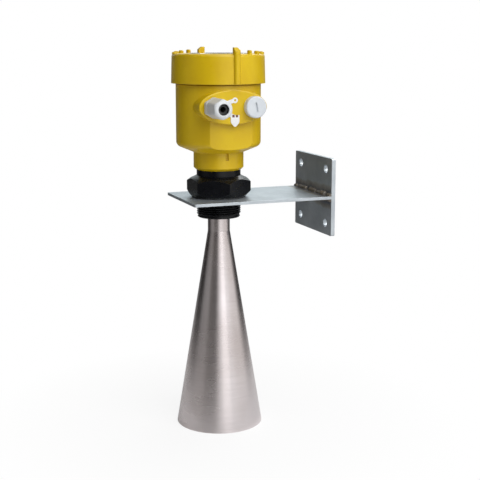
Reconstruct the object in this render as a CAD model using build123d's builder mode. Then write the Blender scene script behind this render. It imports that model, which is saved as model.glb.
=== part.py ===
"""A radar level transmitter that hangs in a T-shaped wall bracket.

Lengths are in millimetres. The origin is the centre of the wall plate's back
face, +X points out of that face into the wall and +Z points up. The cable
entries of the housing face -Y.
"""
import os
from math import sqrt

from build123d import *

os.makedirs("parts", exist_ok=True)

# Clearances between pieces
running_clearance = 0.1
loose_clearance = 0.3
seal_clearance = 0.05

# Wall bracket
bracket_width = 95.0
bracket_corner_radius = 1.5
arm_thickness = 3.0
arm_reach = 113.0
arm_overhang = 43.6
arm_hole_clearance = 0.4
wall_plate_thickness = 4.5
wall_plate_height = 85.0
wall_hole_diameter = 9.0
wall_hole_spacing_y = 65.0
wall_hole_spacing_z = 60.0
weld_leg = 3.0
weld_stitch_length = 21.0
weld_stitch_offset = 24.5
weld_end_length = 7.0

# Process fitting
process_seal_thickness = 2.0
process_seal_margin = 1.5
thread_diameter = 47.8
thread_length = 23.9
thread_chamfer = 1.6
hex_across_flats = 61.0
hex_height = 18.5
hex_upper_chamfer = 3.4
hex_lower_chamfer = 5.2
fitting_neck_height = 9.4
fitting_neck_shoulder = 1.9
spigot_height = 13.6
spigot_end_height = 6.5
spigot_end_wall = 2.9
spigot_step = 2.5
swivel_seal_section = 1.6
swivel_seal_heights = (4.0, 8.6)
retaining_ring_thickness = 1.5
retaining_ring_width = 3.0
retaining_ring_gap = 9.0
retaining_groove_depth = 1.4

# Microwave part and horn antenna
horn_stem_diameter = 18.0
horn_stem_length = 16.4
horn_neck_diameter = 24.0
horn_neck_length = 15.5
horn_mouth_diameter = 95.0
horn_cone_length = 217.3
horn_wall = 1.5
horn_bore_diameter = 12.0
antenna_seal_section = 1.6
antenna_seal_height = 4.0
feed_collar_thickness = 2.5
feed_tip_diameter = 2.0
feed_tip_length = 38.0
waveguide_wall = 1.5
waveguide_length = 15.0
waveguide_flange_diameter = 26.0
waveguide_flange_thickness = 2.0
module_cavity_diameter = 33.0
microwave_module_height = 30.0
microwave_module_chamfer = 1.5
module_plug_diameter = 10.0
module_plug_engagement = 2.4

# Housing body
housing_neck_wall = 5.0
housing_neck_height = 19.0
housing_neck_chamfer = 2.6
neck_slot_width = 3.0
neck_slot_height = 7.2
neck_slot_depth = 2.0
swivel_flange_thickness = 3.0
throat_clearance = 3.0
housing_diameter = 91.0
housing_height = 91.0
housing_foot_angle = 22.3
housing_foot_rounding = 6.0
housing_wall = 5.0
collar_height = 17.5
collar_inset = 1.9
facet_inset = 6.5
facet_wall = 3.0

# Oval boss with the two cable entries
boss_side_inset = 8.0
boss_half_height = 18.0
boss_drop = 22.0
boss_proud = 0.5
boss_edge_radius = 1.4
entry_side_margin = 14.9
entry_thread_diameter = 15.8
entry_seal_seat_depth = 1.6
entry_seal_section = 1.5

# Cable gland
gland_shank_length = 14.0
gland_hex_margin = 0.15
gland_hex_corner_depth = 1.0
gland_hex_height = 6.0
gland_stub_length = 12.2
gland_stub_wall = 1.5
gland_socket_depth = 12.3
gland_socket_ledge = 1.9
gland_seal_length = 23.0
gland_seal_bore_diameter = 6.0
gland_claw_length = 24.0
gland_claw_wall = 1.1
gland_claw_slots = 8
gland_claw_slot_width = 1.2
gland_claw_taper = 0.5
gland_nut_gap = 0.8
gland_nut_wall = 1.4
gland_nut_corner_depth = 0.9
gland_nut_length = 25.0
gland_nut_edge_radius = 1.0
gland_nut_shoulder_radius = 4.0

# Identification tag
tag_thickness = 0.8
tag_ring_width = 1.5
tag_band_width = 4.0
tag_eyelet_diameter = 5.8
tag_eyelet_hole_diameter = 2.4
tag_eyelet_height = 7.2
tag_plug_clearance = 5.2
tag_shield_width = 9.4
tag_shield_top = 8.0
tag_shield_side = 15.5
tag_shield_bottom = 21.3
tag_shield_rounding = 4.0
tag_shield_tip_radius = 2.4

# Blind plug
plug_head_margin = 1.75
plug_head_thickness = 8.0
plug_head_rounding = 1.5
plug_shank_length = 9.0
plug_slot_length = 10.0
plug_slot_width = 2.0
plug_slot_depth = 1.8
plug_slot_angle = 80.0

# Electronics module
module_post_height = 4.7
module_foot_height = 8.0
module_foot_clearance = 4.0
module_side_clearance = 3.0
module_front_clearance = 2.0
module_flange_thickness = 3.0
tower_height = 28.4
tower_front = 4.0
screw_edge_distance = 3.5
screw_head_clearance = 1.1
screw_count = 3
screw_post_diameter = 7.0
screw_shank_diameter = 2.8
screw_length = 10.0
screw_head_diameter = 5.8
screw_head_height = 2.2
driver_slot_width = 0.9
driver_slot_depth = 1.0
board_thickness = 1.6

# Terminals
terminal_count = 6
terminal_pitch = 7.0
terminal_end_margin = 1.0
terminal_block_depth = 12.0
terminal_block_height = 12.0
terminal_block_inset = 5.0
terminal_entry_diameter = 3.4
terminal_entry_height = 3.6
terminal_entry_depth = 7.0
terminal_well_diameter = 4.8
terminal_well_depth = 4.5
terminal_screw_diameter = 4.2
terminal_screw_height = 2.4
earth_clamp_size = 8.0
earth_clamp_corner_radius = 1.0
earth_clamp_thickness = 1.5
earth_clamp_inset = 10.0
earth_screw_diameter = 6.0
earth_screw_height = 2.5

# Display module
pin_diameter = 1.4
pin_length = 8.0
pin_proud = 2.2
pin_pitch = 4.0
pin_count = 4
pin_distance = 14.0
display_depth = 14.6
display_side_clearance = 0.5
display_wall = 2.0
display_base_thickness = 2.0
display_height = 18.0
display_edge_radius = 2.0
pillar_count = 4
pillar_start_angle = 45
pillar_height = 5.5
pillar_diameter = 6.0
pillar_inset = 6.5
screen_side_margin = 10.5
screen_width = 24.0
screen_border = 2.0
screen_distance = 8.0
key_count = 4
key_diameter = 6.0
key_proud = 0.6
key_mat_gap = 1.5
key_mat_thickness = 1.5
key_mat_margin = 2.0

# Lid
lid_gap = 1.2
lid_overhang = 4.75
lid_height = 31.0
lid_taper = 0.9
lid_edge_radius = 3.0
lid_roof_thickness = 4.5
lid_seal_thickness = 2.5
lid_bore_clearance = 0.4
lug_width = 7.0
lug_depth = 6.65
lug_proud = 2.6
lug_rise = 6.6
lug_slant_height = 4.6
lug_slant_depth = 4.4
lug_rounding = 2.8
lug_turn_angle = 3.0
lug_side_slope_height = 3.2
lug_side_slope_width = 2.8
rib_count = 5
rib_first_angle = 21.5
rib_spacing_angle = 15.5
rib_width = 3.8
rib_length = 5.6
rib_first_rise = 3.7
rib_rise_step = 0.7
rib_chamfer = 0.8
window_seat_width = 6.1
window_ledge = 3.6
window_flange_thickness = 2.0
window_seal_thickness = 0.6
window_proud = 0.4
window_ring_thickness = 2.5
window_ring_cover = 0.8

# Heights of the sensor's seats, and its axis
sensor_x = -(wall_plate_thickness + arm_reach)
arm_top = arm_thickness / 2
hex_bottom = arm_top + process_seal_thickness
hex_top = hex_bottom + hex_height
thread_bottom = hex_bottom - thread_length
housing_bottom = hex_top + fitting_neck_height
spigot_top = housing_bottom + spigot_height
spigot_end_top = spigot_top + spigot_end_height
housing_neck_top = housing_bottom + housing_neck_height
housing_top = housing_bottom + housing_height
collar_top = housing_top + collar_height
boss_z = housing_top - boss_drop
lid_bottom = housing_top + lid_gap
lid_top = lid_bottom + lid_height
lid_roof_z = lid_top - lid_roof_thickness

sensor_base = Plane(origin=(sensor_x, 0, 0))
sensor_section = Plane(origin=(sensor_x, 0, 0), x_dir=(1, 0, 0), z_dir=(0, -1, 0))
sensor_axis = Axis((sensor_x, 0, 0), (0, 0, 1))

# Radii that the pieces share, from the axis outwards
thread_radius = thread_diameter / 2
module_cavity_radius = module_cavity_diameter / 2
spigot_end_radius = module_cavity_radius + spigot_end_wall
spigot_radius = spigot_end_radius + spigot_step
fitting_neck_radius = spigot_radius + fitting_neck_shoulder
swivel_bore_radius = spigot_radius + running_clearance
housing_neck_radius = swivel_bore_radius + housing_neck_wall
retaining_groove_radius = spigot_end_radius - retaining_groove_depth
retaining_ring_radius = retaining_groove_radius + seal_clearance + retaining_ring_width
throat_radius = retaining_ring_radius + throat_clearance
housing_radius = housing_diameter / 2
housing_cavity_radius = housing_radius - housing_wall
collar_radius = housing_radius - collar_inset
facet_distance = housing_radius - facet_inset
inner_facet_distance = facet_distance - facet_wall
module_flange_radius = housing_cavity_radius - module_side_clearance
screw_circle_radius = module_flange_radius - screw_edge_distance
module_radius = screw_circle_radius - screw_head_diameter / 2 - screw_head_clearance

screw_places = [
    Vector(0, screw_circle_radius).rotate(Axis.Z, index * 360 / screw_count)
    for index in range(screw_count)
]


def column(radius, bottom, top, mode=Mode.ADD):
    """Add or cut a cylinder about the sensor's axis, between two heights."""
    with BuildSketch(sensor_base.offset(bottom)) as section:
        Circle(radius)
    extrude(section.sketch, amount=top - bottom, mode=mode)


def turned(points, plane=sensor_section, axis=sensor_axis, mode=Mode.ADD):
    """Add or cut the solid that a closed outline sweeps round an axis."""
    with BuildSketch(plane) as section:
        with BuildLine():
            Polyline(*points, close=True)
        make_face()
    revolve(section.sketch, axis=axis, mode=mode)


def groove(outer_radius, inner_radius, bottom, height):
    """Cut a rectangular groove into a shaft about the sensor's axis."""
    with BuildSketch(sensor_base.offset(bottom)) as section:
        Circle(outer_radius)
        Circle(inner_radius, mode=Mode.SUBTRACT)
    extrude(section.sketch, amount=height, mode=Mode.SUBTRACT)


def flat_ring(plane, outer_radius, inner_radius, height):
    """Make a flat ring that lies on a plane."""
    with BuildPart() as ring:
        with BuildSketch(plane):
            Circle(outer_radius)
            Circle(inner_radius, mode=Mode.SUBTRACT)
        extrude(amount=height)
    return ring


def round_seals(planes, inner_radius, section_diameter):
    """Make one ring of round section for each plane, centred on it."""
    with BuildPart() as seals:
        with Locations(*planes):
            Torus(inner_radius + section_diameter / 2, section_diameter / 2)
    return seals


def slotted_screws(planes, head_diameter, head_height, shank_diameter, shank_length):
    """Make one slotted screw for each plane, its head standing on the plane."""
    with BuildPart() as screws:
        with BuildSketch(*planes):
            Circle(head_diameter / 2)
        extrude(amount=head_height)
        if shank_length > 0:
            with BuildSketch(*planes):
                Circle(shank_diameter / 2)
            extrude(amount=-shank_length)
        with BuildSketch(*[plane.offset(head_height) for plane in planes]):
            Rectangle(head_diameter + running_clearance, driver_slot_width)
        extrude(amount=-driver_slot_depth, mode=Mode.SUBTRACT)
    return screws


# Bracket: an arm plate with the sensor's hole, welded to the wall plate
arm_hole_radius = thread_radius + arm_hole_clearance
arm_length = arm_reach + arm_overhang

with BuildPart() as bracket_arm:
    with BuildSketch(Plane.XY.offset(-arm_thickness / 2)):
        with Locations((-wall_plate_thickness, 0)):
            Rectangle(arm_length, bracket_width, align=(Align.MAX, Align.CENTER))
        with Locations((sensor_x, 0)):
            Circle(arm_hole_radius, mode=Mode.SUBTRACT)
    extrude(amount=arm_thickness)
    free_corners = bracket_arm.edges().filter_by(Axis.Z).group_by(Axis.X)[0]
    fillet(free_corners, bracket_corner_radius)
bracket_arm.part.label = "bracket_arm"

with BuildPart() as bracket_wall_plate:
    with BuildSketch(Plane.YZ):
        RectangleRounded(bracket_width, wall_plate_height, bracket_corner_radius)
        with GridLocations(wall_hole_spacing_y, wall_hole_spacing_z, 2, 2):
            Circle(wall_hole_diameter / 2, mode=Mode.SUBTRACT)
    extrude(amount=-wall_plate_thickness)
bracket_wall_plate.part.label = "bracket_wall_plate"

# Each weld stitch is a quarter of a round rod that fills the corner of the two plates
weld_end_offset = bracket_width / 2 - weld_end_length / 2
weld_stitches = [
    (weld_end_offset, weld_end_length),
    (weld_stitch_offset, weld_stitch_length),
    (-weld_stitch_offset, weld_stitch_length),
    (-weld_end_offset, weld_end_length),
]
with BuildPart() as bracket_weld:
    for side in (1, -1):
        for stitch_y, stitch_length in weld_stitches:
            corner = Plane(
                origin=(-wall_plate_thickness, stitch_y, side * arm_thickness / 2),
                x_dir=(-1, 0, 0),
                z_dir=(0, side, 0),
            )
            with BuildSketch(corner):
                with BuildLine():
                    Line((0, 0), (weld_leg, 0))
                    CenterArc((0, 0), weld_leg, 0, 90)
                    Line((0, weld_leg), (0, 0))
                make_face()
            extrude(amount=stitch_length / 2, both=True)
bracket_weld.part.label = "bracket_weld"

# Process fitting: hexagon, pipe thread below it, neck and turning spigot above it
stem_bore_radius = horn_stem_diameter / 2 + running_clearance
stem_top = thread_bottom + horn_stem_length
stem_bore_top = stem_top + feed_collar_thickness
cavity_floor = stem_bore_top + waveguide_length
waveguide_radius = horn_bore_diameter / 2
swivel_flange_top = spigot_top + running_clearance + swivel_flange_thickness
retaining_ring_bottom = swivel_flange_top + seal_clearance
swivel_groove_radius = spigot_radius - swivel_seal_section - seal_clearance
swivel_groove_height = swivel_seal_section + 2 * running_clearance

with BuildPart() as process_fitting:
    with BuildSketch(sensor_base.offset(hex_bottom)):
        RegularPolygon(hex_across_flats / 2, 6, major_radius=False, rotation=30)
    extrude(amount=hex_height)
    turned(
        [
            (0, hex_bottom),
            (hex_across_flats / 2, hex_bottom),
            (hex_across_flats / sqrt(3), hex_bottom + hex_lower_chamfer),
            (hex_across_flats / sqrt(3), hex_top - hex_upper_chamfer),
            (hex_across_flats / 2, hex_top),
            (0, hex_top),
        ],
        mode=Mode.INTERSECT,
    )
    turned(
        [
            (0, thread_bottom),
            (thread_radius - thread_chamfer, thread_bottom),
            (thread_radius, thread_bottom + thread_chamfer),
            (thread_radius, hex_bottom),
            (fitting_neck_radius, hex_bottom),
            (fitting_neck_radius, housing_bottom),
            (spigot_radius, housing_bottom),
            (spigot_radius, spigot_top),
            (spigot_end_radius, spigot_top),
            (spigot_end_radius, spigot_end_top),
            (0, spigot_end_top),
        ]
    )
    for seal_height in swivel_seal_heights:
        groove_bottom = housing_bottom + seal_height - swivel_groove_height / 2
        groove(spigot_radius, swivel_groove_radius, groove_bottom, swivel_groove_height)
    groove(
        spigot_end_radius,
        retaining_groove_radius,
        retaining_ring_bottom - seal_clearance,
        retaining_ring_thickness + 2 * seal_clearance,
    )
    column(stem_bore_radius, thread_bottom, stem_bore_top, Mode.SUBTRACT)
    column(waveguide_radius + running_clearance, stem_bore_top, cavity_floor, Mode.SUBTRACT)
    column(module_cavity_radius, cavity_floor, spigot_end_top, Mode.SUBTRACT)
process_fitting.part.label = "process_fitting"

process_seal = flat_ring(
    sensor_base.offset(arm_top),
    hex_across_flats / 2 - process_seal_margin,
    thread_radius + loose_clearance,
    process_seal_thickness,
)
process_seal.part.label = "process_seal"

swivel_seals = round_seals(
    [sensor_base.offset(housing_bottom + height) for height in swivel_seal_heights],
    swivel_groove_radius + seal_clearance / 2,
    swivel_seal_section,
)
swivel_seals.part.label = "swivel_seals"

with BuildPart() as retaining_ring:
    with BuildSketch(sensor_base.offset(retaining_ring_bottom)):
        Circle(retaining_ring_radius)
        Circle(retaining_ring_radius - retaining_ring_width, mode=Mode.SUBTRACT)
        with Locations((0, spigot_end_radius)):
            Rectangle(retaining_ring_gap, spigot_end_radius, mode=Mode.SUBTRACT)
    extrude(amount=retaining_ring_thickness)
retaining_ring.part.label = "retaining_ring"

# Horn antenna: screwed stem, neck and thin-walled cone
horn_neck_radius = horn_neck_diameter / 2
horn_neck_bottom = thread_bottom - horn_neck_length
horn_mouth_z = horn_neck_bottom - horn_cone_length
antenna_groove_radius = horn_stem_diameter / 2 - antenna_seal_section - seal_clearance
antenna_groove_height = antenna_seal_section + 2 * running_clearance
antenna_seal_z = thread_bottom + antenna_seal_height

with BuildPart() as horn_antenna:
    turned(
        [
            (horn_bore_diameter / 2, stem_top),
            (horn_stem_diameter / 2, stem_top),
            (horn_stem_diameter / 2, thread_bottom),
            (horn_neck_radius, thread_bottom),
            (horn_neck_radius, horn_neck_bottom),
            (horn_mouth_diameter / 2, horn_mouth_z),
            (horn_mouth_diameter / 2 - horn_wall, horn_mouth_z),
            (horn_neck_radius - horn_wall, horn_neck_bottom),
            (horn_bore_diameter / 2, horn_neck_bottom),
        ]
    )
    groove(
        horn_stem_diameter / 2,
        antenna_groove_radius,
        antenna_seal_z - antenna_groove_height / 2,
        antenna_groove_height,
    )
horn_antenna.part.label = "horn_antenna"

antenna_seal = round_seals(
    [sensor_base.offset(antenna_seal_z)],
    antenna_groove_radius + seal_clearance / 2,
    antenna_seal_section,
)
antenna_seal.part.label = "antenna_seal"

# Feed cone: plastic, held by its collar on the stem's end, with its tip in the horn
feed_radius = horn_bore_diameter / 2 - running_clearance
with BuildPart() as feed_cone:
    turned(
        [
            (0, horn_neck_bottom - feed_tip_length),
            (feed_tip_diameter / 2, horn_neck_bottom - feed_tip_length),
            (feed_radius, horn_neck_bottom),
            (feed_radius, stem_top),
            (horn_stem_diameter / 2, stem_top),
            (horn_stem_diameter / 2, stem_bore_top),
            (0, stem_bore_top),
        ]
    )
feed_cone.part.label = "feed_cone"

module_bottom = cavity_floor + waveguide_flange_thickness
with BuildPart() as waveguide_tube:
    column(waveguide_radius, stem_bore_top, cavity_floor)
    column(waveguide_flange_diameter / 2, cavity_floor, module_bottom)
    column(waveguide_radius - waveguide_wall, stem_bore_top, module_bottom, Mode.SUBTRACT)
waveguide_tube.part.label = "waveguide_tube"

# Housing body: turning neck, conical foot, round pot with a flat and the oval boss
foot_slope = Vector(1, 0).rotate(Axis.Z, housing_foot_angle)
foot_rise = (housing_radius - housing_neck_radius) * foot_slope.Y / foot_slope.X
foot_corner_z = housing_neck_top + foot_rise
throat_top = housing_neck_top + housing_wall
inner_foot_rise = (inner_facet_distance - throat_radius) * foot_slope.Y / foot_slope.X
cavity_bottom = throat_top + inner_foot_rise
boss_half_width = housing_radius - boss_side_inset
boss_face_distance = housing_radius + boss_proud
boss_root_distance = sqrt(housing_radius**2 - boss_half_width**2) - housing_wall / 2
entry_offset = boss_half_width - entry_side_margin
entry_thread_radius = entry_thread_diameter / 2
entry_seat_radius = entry_thread_radius + entry_seal_section + running_clearance

entry_face = Plane(
    origin=(sensor_x, -boss_face_distance, boss_z), x_dir=(1, 0, 0), z_dir=(0, -1, 0)
)
gland_face = Plane(
    origin=(sensor_x - entry_offset, -boss_face_distance, boss_z),
    x_dir=(1, 0, 0),
    z_dir=(0, -1, 0),
)
plug_face = Plane(
    origin=(sensor_x + entry_offset, -boss_face_distance, boss_z),
    x_dir=(1, 0, 0),
    z_dir=(0, -1, 0),
)
entry_hole_radius = entry_thread_radius + running_clearance
entry_outer_side = entry_offset + entry_hole_radius
entry_hole_depth = boss_face_distance - sqrt(housing_cavity_radius**2 - entry_outer_side**2)

module_flange_z = cavity_bottom + module_post_height
module_flange_top = module_flange_z + module_flange_thickness
module_foot_z = module_flange_z - module_foot_height
post_depth = module_post_height + facet_wall

with BuildPart() as housing_body:
    with BuildSketch(sensor_section):
        with BuildLine():
            FilletPolyline(
                (0, housing_bottom),
                (housing_neck_radius - housing_neck_chamfer, housing_bottom),
                (housing_neck_radius, housing_bottom + housing_neck_chamfer),
                (housing_neck_radius, housing_neck_top),
                (housing_radius, foot_corner_z),
                (housing_radius, housing_top),
                (collar_radius, housing_top),
                (collar_radius, collar_top),
                (0, collar_top),
                radius=[0, 0, 0, 0, housing_foot_rounding, 0, 0, 0, 0],
                close=True,
            )
        make_face()
    revolve(axis=sensor_axis)
    # The flat runs from the foot up behind the boss
    with BuildSketch(sensor_base.offset(housing_neck_top)):
        with Locations((0, -facet_distance)):
            Rectangle(housing_diameter, housing_radius, align=(Align.CENTER, Align.MAX))
    extrude(amount=boss_z - housing_neck_top, mode=Mode.SUBTRACT)
    with BuildSketch(entry_face):
        Ellipse(boss_half_width, boss_half_height)
    extrude(amount=boss_root_distance - boss_face_distance)
    boss_rim = housing_body.edges().filter_by(GeomType.ELLIPSE).sort_by(Axis.Y)[0]
    fillet(boss_rim, boss_edge_radius)
    # Compartment with a flat front, its sloping floor, and the bores of the neck
    with BuildSketch(sensor_base.offset(cavity_bottom)):
        Circle(housing_cavity_radius)
        with Locations((0, -inner_facet_distance)):
            Rectangle(
                2 * housing_diameter, housing_diameter,
                align=(Align.CENTER, Align.MIN), mode=Mode.INTERSECT,
            )
    extrude(amount=collar_top - cavity_bottom, mode=Mode.SUBTRACT)
    turned(
        [
            (0, swivel_flange_top),
            (throat_radius, swivel_flange_top),
            (throat_radius, throat_top),
            (inner_facet_distance, cavity_bottom),
            (0, cavity_bottom),
        ],
        mode=Mode.SUBTRACT,
    )
    column(swivel_bore_radius, housing_bottom, spigot_top + running_clearance, Mode.SUBTRACT)
    column(spigot_end_radius + running_clearance, housing_bottom, throat_top, Mode.SUBTRACT)
    # Posts that carry the electronics module
    with BuildSketch(sensor_base.offset(module_flange_z)):
        with Locations(*screw_places):
            Circle(screw_post_diameter / 2)
    extrude(amount=-post_depth)
    with BuildSketch(sensor_base.offset(module_flange_z)):
        with Locations(*screw_places):
            Circle(screw_shank_diameter / 2)
    extrude(amount=module_flange_thickness - screw_length, mode=Mode.SUBTRACT)
    # Entry holes with their seal seats, and the slot in the neck
    with BuildSketch(gland_face, plug_face):
        Circle(entry_hole_radius)
    extrude(amount=-entry_hole_depth, mode=Mode.SUBTRACT)
    with BuildSketch(gland_face, plug_face):
        Circle(entry_seat_radius)
    extrude(amount=-entry_seal_seat_depth, mode=Mode.SUBTRACT)
    with BuildSketch(sensor_base.offset(housing_neck_top - neck_slot_height)):
        with Locations((0, -housing_neck_radius)):
            Rectangle(neck_slot_width, 2 * neck_slot_depth)
    extrude(amount=neck_slot_height, mode=Mode.SUBTRACT)
housing_body.part.label = "housing_body"

# Cable gland, worked out along the entry's axis from the boss face outwards
entry_axis_direction = (0, -1, 0)
gland_section = Plane(origin=gland_face.origin, x_dir=(1, 0, 0), z_dir=(0, 0, -1))
gland_axis = Axis(gland_face.origin, entry_axis_direction)
gland_hex_distance = entry_seat_radius + gland_hex_margin
gland_hex_top = tag_thickness + gland_hex_height
gland_stub_top = gland_hex_top + gland_stub_length
gland_socket_radius = entry_thread_radius - gland_stub_wall
gland_bore_radius = gland_socket_radius - gland_socket_ledge
gland_socket_bottom = gland_stub_top - gland_socket_depth

entry_seal_inner_radius = entry_thread_radius + seal_clearance
entry_seal_offset = -entry_seal_section / 2 - seal_clearance
gland_seal_ring = round_seals(
    [gland_face.offset(entry_seal_offset)], entry_seal_inner_radius, entry_seal_section
)
gland_seal_ring.part.label = "gland_seal_ring"

with BuildPart() as gland_body:
    with BuildSketch(gland_face.offset(tag_thickness)):
        RegularPolygon(gland_hex_distance, 6, major_radius=False, rotation=30)
        Circle(gland_hex_distance + gland_hex_corner_depth, mode=Mode.INTERSECT)
    extrude(amount=gland_hex_height)
    with BuildSketch(gland_face.offset(-gland_shank_length)):
        Circle(entry_thread_radius)
    extrude(amount=gland_shank_length + gland_stub_top)
    turned(
        [
            (0, -gland_shank_length),
            (gland_bore_radius, -gland_shank_length),
            (gland_bore_radius, gland_socket_bottom),
            (gland_socket_radius, gland_socket_bottom),
            (gland_socket_radius, gland_stub_top),
            (0, gland_stub_top),
        ],
        gland_section,
        gland_axis,
        Mode.SUBTRACT,
    )
gland_body.part.label = "gland_body"

# The claw's fingers close on the rubber sleeve when the nut is tightened
claw_outer_radius = gland_socket_radius - running_clearance
claw_inner_radius = claw_outer_radius - gland_claw_wall
claw_top = gland_socket_bottom + gland_claw_length
nut_bottom = gland_hex_top + gland_nut_gap
nut_top = nut_bottom + gland_nut_length
nut_mouth_radius = claw_outer_radius - gland_claw_taper
nut_thread_radius = entry_thread_radius + running_clearance
nut_thread_top = gland_stub_top + loose_clearance
nut_flat_distance = nut_thread_radius + gland_nut_wall
nut_radius = nut_flat_distance + gland_nut_corner_depth

with BuildPart() as gland_claw:
    turned(
        [
            (claw_inner_radius, gland_socket_bottom),
            (claw_outer_radius, gland_socket_bottom),
            (claw_outer_radius, gland_stub_top),
            (nut_mouth_radius + running_clearance, claw_top),
            (nut_mouth_radius + running_clearance - gland_claw_wall / 2, claw_top),
            (claw_inner_radius, gland_stub_top),
        ],
        gland_section,
        gland_axis,
    )
    slot_plane = gland_face.offset(gland_stub_top - gland_socket_depth / 2)
    with BuildSketch(slot_plane):
        with PolarLocations(claw_outer_radius, gland_claw_slots):
            Rectangle(2 * gland_claw_wall + claw_outer_radius, gland_claw_slot_width)
    extrude(amount=gland_claw_length, mode=Mode.SUBTRACT)
gland_claw.part.label = "gland_claw"

gland_sleeve = flat_ring(
    gland_face.offset(gland_socket_bottom),
    claw_inner_radius - running_clearance,
    gland_seal_bore_diameter / 2,
    gland_seal_length,
)
gland_sleeve.part.label = "gland_sleeve"

with BuildPart() as gland_cap_nut:
    with BuildSketch(gland_section):
        with BuildLine():
            FilletPolyline(
                (nut_mouth_radius, nut_bottom),
                (nut_radius, nut_bottom),
                (nut_radius, nut_top),
                (nut_mouth_radius, nut_top),
                radius=[0, gland_nut_edge_radius, gland_nut_shoulder_radius, 0],
                close=True,
            )
        make_face()
    revolve(axis=gland_axis)
    with BuildSketch(gland_face.offset(nut_bottom)):
        RegularPolygon(nut_flat_distance, 6, major_radius=False, rotation=30)
    extrude(amount=nut_top - nut_bottom, mode=Mode.INTERSECT)
    turned(
        [
            (0, nut_bottom),
            (nut_thread_radius, nut_bottom),
            (nut_thread_radius, nut_thread_top),
            (claw_outer_radius + loose_clearance, nut_thread_top),
            (nut_mouth_radius + loose_clearance, claw_top + loose_clearance),
            (0, claw_top + loose_clearance),
        ],
        gland_section,
        gland_axis,
        Mode.SUBTRACT,
    )
gland_cap_nut.part.label = "gland_cap_nut"

# Identification tag: a ring under the gland's hexagon, and an eyelet and a shield that
# stand between the gland and the blind plug
tag_ring_radius = entry_thread_radius + tag_ring_width
plug_head_radius = entry_seat_radius + plug_head_margin
plug_head_side = 2 * entry_offset - plug_head_radius
shield_x = plug_head_side - tag_plug_clearance - tag_shield_width / 2
eyelet = Vector(shield_x, tag_eyelet_height)
with BuildPart() as gland_tag:
    with BuildSketch(gland_face):
        Circle(tag_ring_radius)
        with BuildLine():
            Line((0, 0), eyelet)
        trace(line_width=tag_band_width)
        with Locations(eyelet):
            Circle(tag_eyelet_diameter / 2)
        with BuildLine():
            Line((0, 0), (shield_x, -tag_shield_top - tag_band_width / 2))
        trace(line_width=tag_band_width)
        with BuildLine():
            FilletPolyline(
                (shield_x, -tag_shield_bottom),
                (shield_x + tag_shield_width / 2, -tag_shield_side),
                (shield_x + tag_shield_width / 2, -tag_shield_top),
                (shield_x - tag_shield_width / 2, -tag_shield_top),
                (shield_x - tag_shield_width / 2, -tag_shield_side),
                radius=[tag_shield_tip_radius, tag_shield_rounding, 0, 0, tag_shield_rounding],
                close=True,
            )
        make_face()
        Circle(entry_thread_radius + seal_clearance, mode=Mode.SUBTRACT)
        with Locations(eyelet):
            Circle(tag_eyelet_hole_diameter / 2, mode=Mode.SUBTRACT)
    extrude(amount=tag_thickness)
gland_tag.part.label = "gland_tag"

# Blind plug in the second entry
plug_seal_ring = round_seals(
    [plug_face.offset(entry_seal_offset)], entry_seal_inner_radius, entry_seal_section
)
plug_seal_ring.part.label = "plug_seal_ring"

with BuildPart() as blind_plug:
    with BuildSketch(plug_face):
        Circle(plug_head_radius)
    extrude(amount=plug_head_thickness)
    fillet(blind_plug.edges().sort_by(Axis.Y)[0], plug_head_rounding)
    with BuildSketch(plug_face):
        Circle(entry_thread_radius)
    extrude(amount=-plug_shank_length)
    with BuildSketch(plug_face.offset(plug_head_thickness)):
        SlotOverall(plug_slot_length, plug_slot_width, rotation=180 - plug_slot_angle)
    extrude(amount=-plug_slot_depth, mode=Mode.SUBTRACT)
blind_plug.part.label = "blind_plug"

# Microwave module, with a plug that reaches up into the electronics module's foot
module_top = module_bottom + microwave_module_height
module_plug_top = module_foot_z + module_plug_engagement
with BuildPart() as microwave_module:
    column(module_cavity_radius - loose_clearance, module_bottom, module_top)
    top_rim = microwave_module.edges().sort_by(Axis.Z)[-1]
    chamfer(top_rim, microwave_module_chamfer)
    column(module_plug_diameter / 2, module_top, module_plug_top)
microwave_module.part.label = "microwave_module"

# Electronics module: foot with the plug's socket, flange, potted body and a rear tower
display_top = lid_roof_z - display_depth
tower_top = display_top - display_height
module_body_top = tower_top - tower_height
pin_tip_z = tower_top + pin_proud
pin_places = [
    (pin_pitch * (index - (pin_count - 1) / 2), pin_distance) for index in range(pin_count)
]

with BuildPart() as electronics_module:
    column(throat_radius - module_foot_clearance, module_foot_z, module_flange_z)
    with BuildSketch(sensor_base.offset(module_flange_z)):
        Circle(module_flange_radius)
        with Locations((0, module_front_clearance - inner_facet_distance)):
            Rectangle(
                2 * housing_diameter, housing_diameter,
                align=(Align.CENTER, Align.MIN), mode=Mode.INTERSECT,
            )
        with Locations(*screw_places):
            Circle(screw_shank_diameter / 2 + running_clearance, mode=Mode.SUBTRACT)
    extrude(amount=module_flange_thickness)
    column(module_radius, module_flange_top, module_body_top)
    with BuildSketch(sensor_base.offset(module_body_top)):
        Circle(module_radius)
        with Locations((0, tower_front)):
            Rectangle(
                2 * module_radius, 2 * module_radius,
                align=(Align.CENTER, Align.MIN), mode=Mode.INTERSECT,
            )
    extrude(amount=tower_height)
    socket_radius = module_plug_diameter / 2 + loose_clearance
    column(socket_radius, module_foot_z, module_plug_top + loose_clearance, Mode.SUBTRACT)
    with BuildSketch(sensor_base.offset(tower_top)):
        with Locations(*pin_places):
            Circle(pin_diameter / 2)
    extrude(amount=pin_proud - pin_length, mode=Mode.SUBTRACT)
electronics_module.part.label = "electronics_module"

module_screws = slotted_screws(
    [Plane(sensor_base.offset(module_flange_top).from_local_coords(place)) for place in screw_places],
    screw_head_diameter,
    screw_head_height,
    screw_shank_diameter,
    screw_length,
)
module_screws.part.label = "module_screws"

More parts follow.
